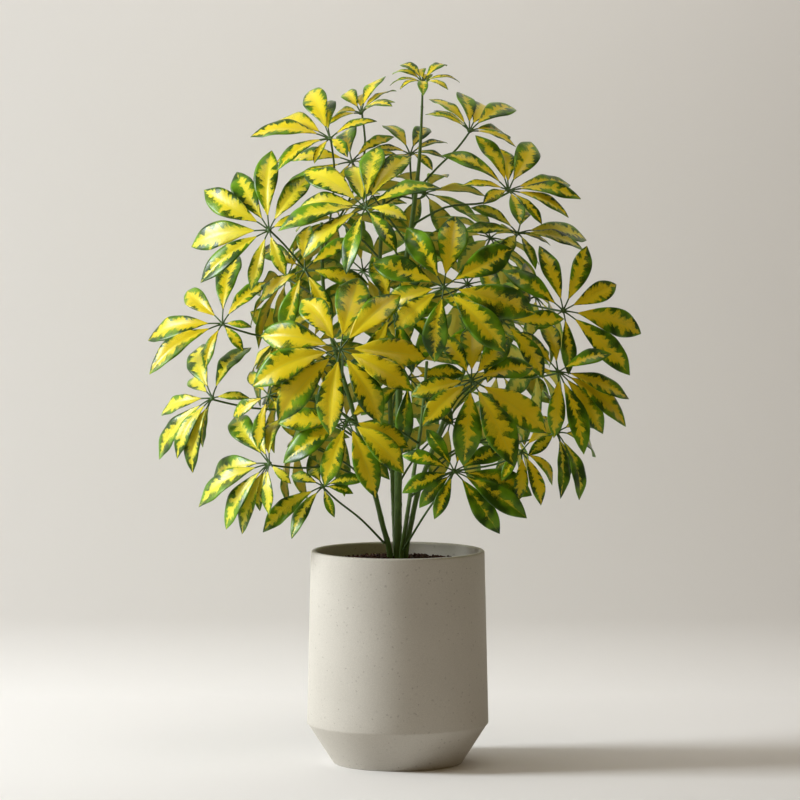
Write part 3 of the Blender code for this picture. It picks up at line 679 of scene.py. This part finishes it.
def make_cane(node):
    """Builds one cane and returns its length."""
    bm = welded(node)
    top_corners = sorted(bm.verts, key=lambda v: v.co.z)[-SOLID_SIDES:]
    centres, radii = ring_walk(set(top_corners), set())
    bm.free()
    length = sum((a - b).length for a, b in zip(centres, centres[1:]))
    steps = int(length / CANE_RING_STEP)
    spans = [Vector((radius, 0, 0)) for radius in radii]
    points, sizes = [], []
    for k in range(steps + 1):
        t = k / steps
        scar = (t * length / SCAR_STEP + 0.3) % 1 - 0.5
        swell = 1 + SCAR_SWELL * math.exp(-((scar * SCAR_STEP / SCAR_WIDTH) ** 2))
        points.append(smooth_point(centres, t))
        sizes.append(smooth_point(spans, t).x * swell)
    fine = bmesh.new()
    tube(fine, points, sizes, CANE_SIDES)
    finish_piece("fine_" + node, fine, [cane_skin], node)
    return length


print("cane lengths (mm):", [round(make_cane(node) / MM) for node in cane_names])

# %% [markdown]
# ## Pot
#
# The pot is cast stoneware, matt and warm grey, with fine sand in it. Its sides stand almost straight above a crisp
# shoulder, and a straight chamfer runs in to the foot. It is turned by spinning one outline, whose sizes are read
# from the solid.

# %% Pot shape
POT_STEPS = 160
LIP_ROUND = 2.5 * MM
SHOULDER_ROUND = 1.2 * MM
FOOT_ROUND = 2.5 * MM
POT_FLOOR = 9 * MM

_, pot_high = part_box("pot")
pot_corners = [vert.co for vert in solids["pot"].data.vertices]
pot_radius = max(point.xy.length for point in pot_corners)
shoulder_height = next(point.z for point in pot_corners if point.xy.length > pot_radius - 0.1 * MM)
rim_radius = max(point.xy.length for point in pot_corners if point.z > pot_high.z - 2.6 * MM)
foot_radius = max(point.xy.length for point in pot_corners if point.z < 1.2 * MM)
lip_inside = min(point.xy.length for point in pot_corners if pot_high.z - 3 * MM < point.z)
print("pot radius:", round(pot_radius / MM, 1), "shoulder at:", round(shoulder_height / MM, 1))
print("rim radius:", round(rim_radius / MM, 1), "foot radius:", round(foot_radius / MM, 1))


def arc(centre, radius, start, end, steps):
    """Points on an arc of the outline, from a start to an end in degrees."""
    turns = [math.radians(start + (end - start) * k / steps) for k in range(steps + 1)]
    return [(centre[0] + radius * math.cos(a), centre[1] + radius * math.sin(a)) for a in turns]


def make_pot():
    wall = rim_radius - lip_inside
    lip = pot_high.z - LIP_ROUND
    inside_foot = foot_radius - wall
    outline = [(0, 0)]
    outline += arc((foot_radius - 2 * MM, FOOT_ROUND), FOOT_ROUND, -90, -40, 6)
    outline += [
        (pot_radius - 1.6 * SHOULDER_ROUND, shoulder_height - 2.0 * SHOULDER_ROUND),
        (pot_radius - 0.25 * SHOULDER_ROUND, shoulder_height - 0.5 * SHOULDER_ROUND),
        (pot_radius, shoulder_height + 0.5 * SHOULDER_ROUND),
    ]
    outline += [
        (pot_radius + (rim_radius - pot_radius) * k / 12, shoulder_height + (lip - shoulder_height) * k / 12)
        for k in range(1, 12)
    ]
    outline += arc((rim_radius - LIP_ROUND, lip), LIP_ROUND, 0, 90, 8)
    outline += arc((lip_inside + LIP_ROUND, lip), LIP_ROUND, 90, 180, 8)
    outline += [(pot_radius - wall, shoulder_height + wall / 2), (inside_foot, POT_FLOOR), (0, POT_FLOOR)]
    bm = bmesh.new()
    points = [bm.verts.new((radius, 0, height)) for radius, height in outline]
    edges = [bm.edges.new(pair) for pair in zip(points, points[1:])]
    bmesh.ops.spin(
        bm, geom=points + edges, cent=(0, 0, 0), axis=(0, 0, 1), angle=2 * math.pi, steps=POT_STEPS, use_merge=True
    )
    bmesh.ops.remove_doubles(bm, verts=bm.verts[:], dist=0.01 * MM)
    return bm


# %% [markdown]
# Cast stoneware shows three sizes of detail: slow clouds of tone, sand grains about a millimetre across, and a few
# pinholes where air was trapped. Each pinhole is dented a little and painted dark, and that dark is painted shade
# inside the hole. The grains are drawn a little coarser than real so that they show from afar.

# %% Pot finish
GRAIN_MM = 0.9
PINHOLE_MM = 11.0


def stoneware_finish():
    """Unglazed stoneware: matt, warm grey, sandy and a little pitted, with painted shade darkening each pinhole."""
    made, tree, shader = new_material("cast_stoneware", roughness=0.78, ior=1.5)
    place = add(tree, "TexCoord").outputs["Object"]
    cloud = add(tree, "TexNoise", {"Vector": place, "Scale": 14.0, "Detail": 4.0})
    grain = add(tree, "TexNoise", {"Vector": place, "Scale": 1000 / GRAIN_MM, "Detail": 2.0})
    sand = add(tree, "TexVoronoi", {"Vector": place, "Scale": 1000 / (2.2 * GRAIN_MM)})
    hole = add(tree, "TexVoronoi", {"Vector": place, "Scale": 1000 / PINHOLE_MM})
    tone = add(tree, "Mix", {0: cloud.outputs[0], "A": linear("b9b4aa"), "B": linear("c6c1b7")}, data_type="RGBA")
    fleck = add(tree, "MapRange", {0: grain.outputs[0], 1: 0.40, 2: 0.64, 3: 0.93, 4: 1.04})
    toned = add(tree, "VectorMath", {0: tone.outputs["Result"], 3: fleck}, operation="SCALE")
    dark = add(tree, "MapRange", {0: sand.outputs["Color"], 1: 0.06, 2: 0.12, 3: 0.28, 4: 0.0})
    speck = add(tree, "Mix", {0: dark, "A": toned, "B": linear("6b6256")}, data_type="RGBA")
    # Painted shade: each pinhole is darkened towards 5f564a, and the same mask dents it in the bump below.
    pinhole_shade_and_dent = add(tree, "MapRange", {0: hole.outputs["Distance"], 1: 0.03, 2: 0.07, 3: 0.7, 4: 0.0})
    with_pinhole_shade = add(tree, "Mix", {0: pinhole_shade_and_dent, "A": speck.outputs["Result"], "B": linear("5f564a")}, data_type="RGBA")
    tree.links.new(with_pinhole_shade.outputs["Result"], shader.inputs["Base Color"])
    relief = add(tree, "Math", {0: pinhole_shade_and_dent, 1: -1.6, 2: grain.outputs[0]}, operation="MULTIPLY_ADD")
    bump = add(tree, "Bump", {"Strength": 0.35, "Distance": 0.4 * MM, "Height": relief})
    tree.links.new(bump.outputs[0], shader.inputs["Normal"])
    return made


pot = finish_piece("cast_pot", make_pot(), [stoneware_finish()], "pot")
pot.data.set_sharp_from_angle(angle=math.radians(40))
print("pot faces:", len(pot.data.polygons))

# %% [markdown]
# ## Soil
#
# Potting mix is a dark, crumbly heap of bark, coir and peat. Its body is a turned disc with a rough top, and a few
# hundred small crumbs lie on it. Each crumb is a squashed ball with few faces, because there are so many of them.

# %% Soil
SOIL_SIDES = 96
SOIL_RINGS = 34
CRUMBS = 620
AT_WALL = 88 * MM

soil_low, soil_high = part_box("soil")
soil_corners = [vert.co for vert in solids["soil"].data.vertices]
soil_edge = max(point.z for point in soil_corners if point.xy.length > AT_WALL)
soil_radius = max(point.xy.length for point in soil_corners if point.z > soil_edge - MM)


def heap_height(x, y):
    """Top of the heap, with lumps of three sizes that fade out at the wall."""
    share = min(math.hypot(x, y) / soil_radius, 1)
    lumps = math.sin(110 * x + 1.3) * math.sin(95 * y + 0.4) + 0.6 * math.sin(170 * y - 120 * x)
    lumps += 0.5 * math.sin(420 * x + 2) * math.sin(390 * y) + 0.35 * math.sin(900 * x) * math.sin(840 * y + 1)
    return soil_edge + (soil_high.z - soil_edge - 2 * MM + 1.1 * MM * lumps) * (1 - share**2)


def make_soil():
    bm = bmesh.new()
    under = [(0, soil_low.z), (foot_radius - 8 * MM, soil_low.z), (pot_radius - 6.5 * MM, shoulder_height + 3 * MM)]
    top = [(soil_radius * (1 - k / SOIL_RINGS), soil_edge) for k in range(SOIL_RINGS + 1)]
    points = [bm.verts.new((radius, 0, height)) for radius, height in under + top]
    edges = [bm.edges.new(pair) for pair in zip(points, points[1:])]
    bmesh.ops.spin(
        bm, geom=points + edges, cent=(0, 0, 0), axis=(0, 0, 1), angle=2 * math.pi, steps=SOIL_SIDES, use_merge=True
    )
    bmesh.ops.remove_doubles(bm, verts=bm.verts[:], dist=0.01 * MM)
    for vert in bm.verts:
        if vert.co.z > soil_edge - MM and vert.co.xy.length < soil_radius - MM:
            vert.co.z = heap_height(vert.co.x, vert.co.y)
    chance = random.Random(7)
    for _ in range(CRUMBS):
        radius, turn = (soil_radius - 4 * MM) * math.sqrt(chance.random()), chance.uniform(0, 2 * math.pi)
        x, y, size = radius * math.cos(turn), radius * math.sin(turn), chance.uniform(0.9, 2.6) * MM
        place = Matrix.Translation((x, y, heap_height(x, y) + size * 0.25))
        spin = Matrix.Rotation(chance.uniform(0, 6.28), 4, (chance.random(), chance.random(), 1))
        squash = Matrix.Diagonal((chance.uniform(0.8, 1.8), chance.uniform(0.7, 1.2), chance.uniform(0.45, 0.8), 1))
        bmesh.ops.create_icosphere(bm, subdivisions=2, radius=size, matrix=place @ spin @ squash)
    return bm


def potting_mix_finish():
    """Bark and peat: nearly black when moist, with red-brown fibres."""
    made, tree, shader = new_material("moist_potting_mix", roughness=0.92, ior=1.4)
    place = add(tree, "TexCoord").outputs["Object"]
    crumb = add(tree, "TexNoise", {"Vector": place, "Scale": 320.0, "Detail": 6.0, "Roughness": 0.7})
    patch = add(tree, "TexVoronoi", {"Vector": place, "Scale": 260.0})
    mix = add(tree, "MapRange", {0: crumb.outputs[0], 1: 0.38, 2: 0.66})
    body = add(tree, "Mix", {0: mix, "A": linear("1d120d"), "B": linear("5a3526")}, data_type="RGBA")
    chip = add(tree, "MapRange", {0: patch.outputs["Color"], 1: 0.82, 2: 0.9})
    tone = add(tree, "Mix", {0: chip, "A": body.outputs["Result"], "B": linear("7a4a33")}, data_type="RGBA")
    tree.links.new(tone.outputs["Result"], shader.inputs["Base Color"])
    bump = add(tree, "Bump", {"Strength": 0.8, "Distance": 1.0 * MM, "Height": crumb.outputs[0]})
    tree.links.new(bump.outputs[0], shader.inputs["Normal"])
    return made


soil = finish_piece("potting_mix", make_soil(), [potting_mix_finish()], "soil")
print("soil faces:", len(soil.data.polygons))
